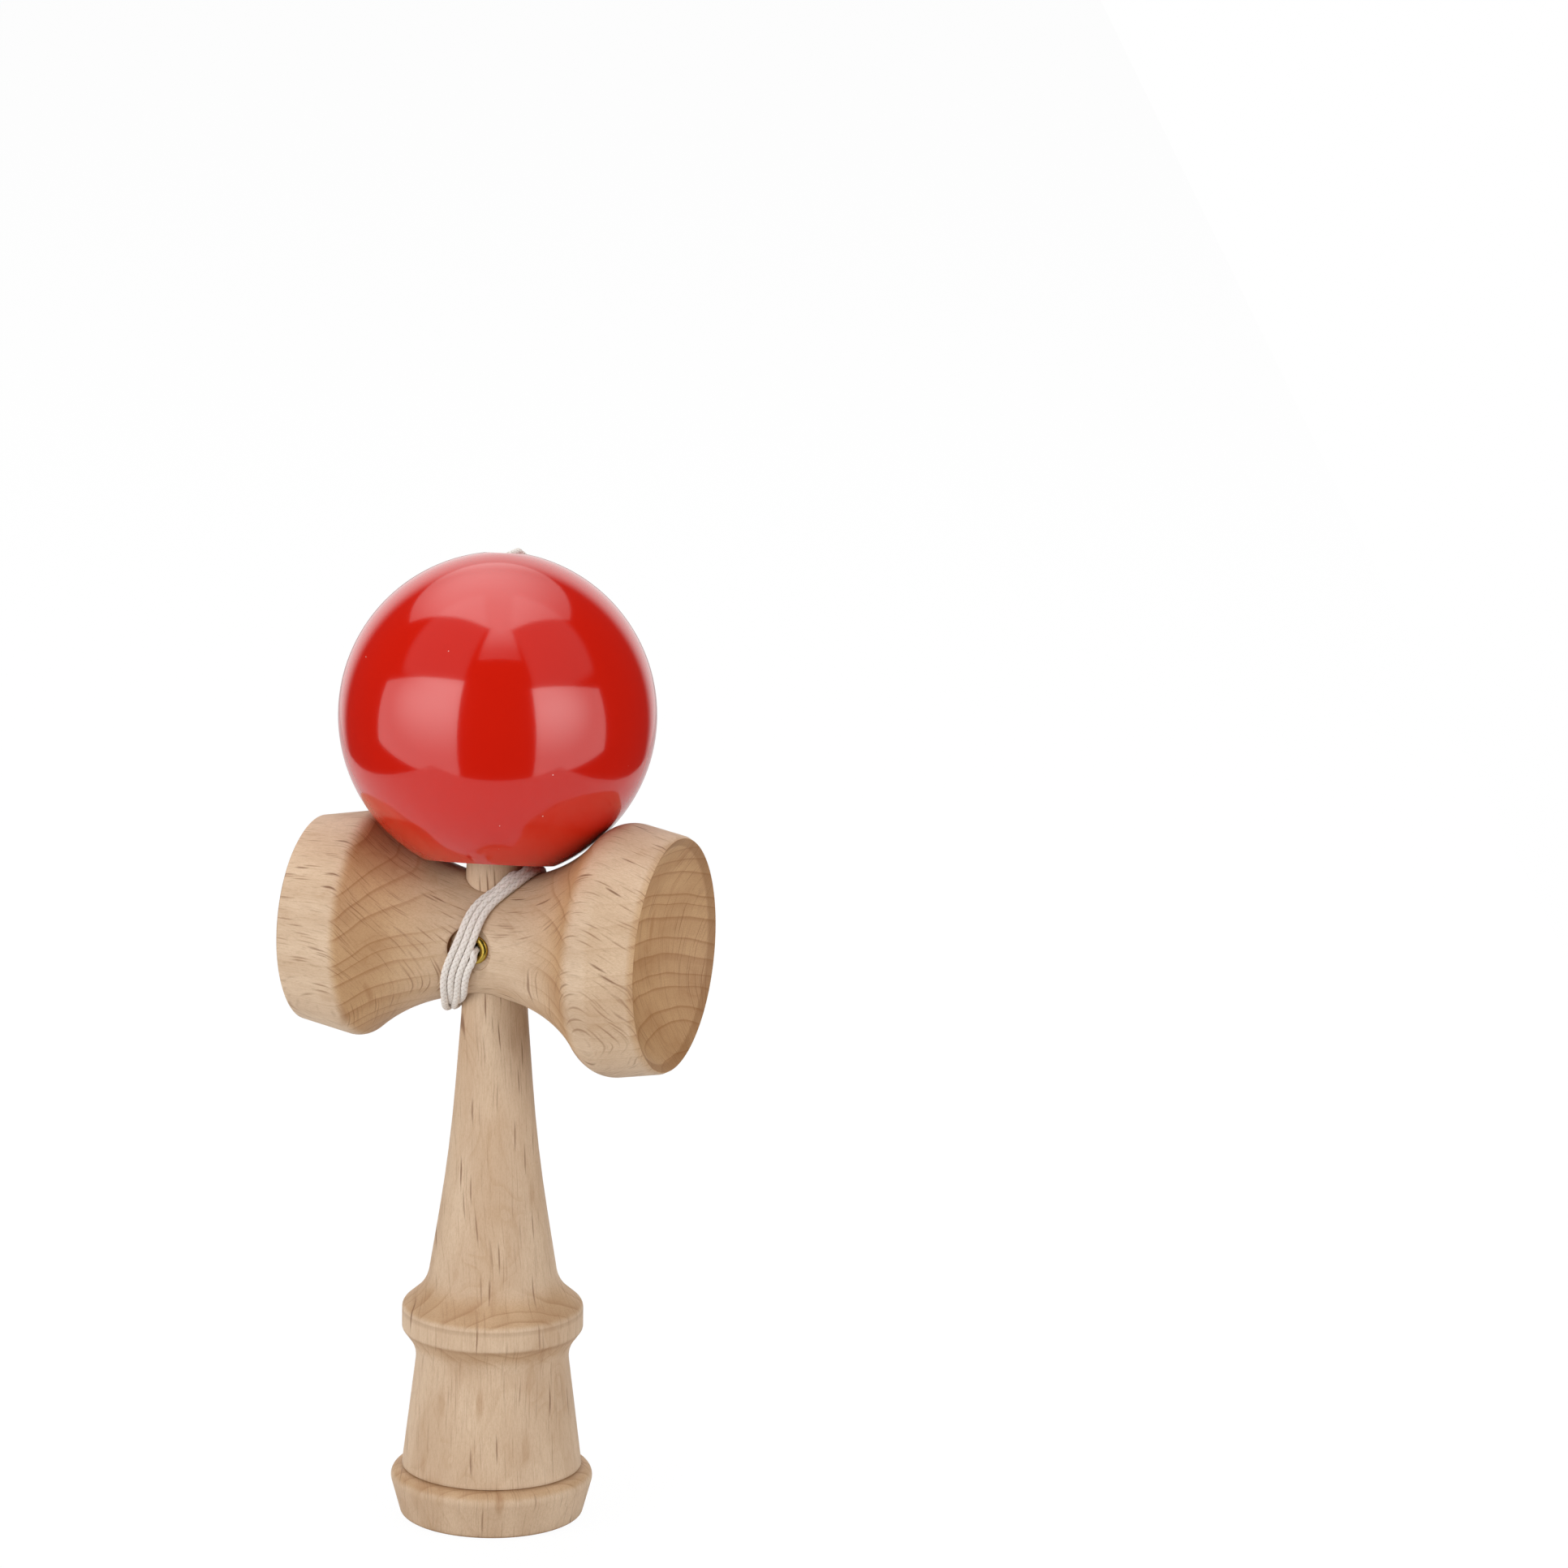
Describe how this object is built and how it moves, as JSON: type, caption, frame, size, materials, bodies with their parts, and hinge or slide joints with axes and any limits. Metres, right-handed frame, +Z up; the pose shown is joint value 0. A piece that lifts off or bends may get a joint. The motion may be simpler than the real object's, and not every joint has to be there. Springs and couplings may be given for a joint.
{
  "type": "kendama",
  "caption": "Wooden skill toy: turned handle with a spike and a foot cup, a cross-piece with two cups, and a bored lacquered ball tied on with a string.",
  "frame": {"origin": "middle of the foot's rim, on the plane that the handle stands on", "axes": "+Z up along the handle to the spike, +X along the cross-piece to the big cup, +Y to the back, away from the eyelet"},
  "size_m": [0.0729, 0.0617, 0.1876],
  "materials": {
    "beech": "fine-sanded, thin clear wax",
    "red_lacquer": "wood under thick gloss red lacquer",
    "brass": "polished",
    "bead_wood": "plain turned wood",
    "cotton": "braided cotton, off-white"
  },
  "bodies": {
    "handle": {"handle": "beech", "cross_piece": "beech", "eyelet": "brass", "anchor_knot": "cotton", "string_in_handle": "cotton", "string_winding": "cotton", "string_to_ball": "cotton"},
    "bead": {"bead": "bead_wood", "bead_knot": "cotton", "string_in_ball": "cotton"},
    "ball": {"ball": "red_lacquer"}
  },
  "joints": [
    {"name": "ball_lift", "type": "slide", "parent": "handle", "child": "bead", "axis": [0, 0, 1], "range_m": [0, 0.045], "deforming": ["string_to_ball"]},
    {"name": "ball_spin", "type": "hinge", "parent": "bead", "child": "ball", "pos_m": [-0.0012, 0.0036, 0.15702], "axis": [-0.0391, 0.2215, 0.9744], "continuous": true}
  ]
}
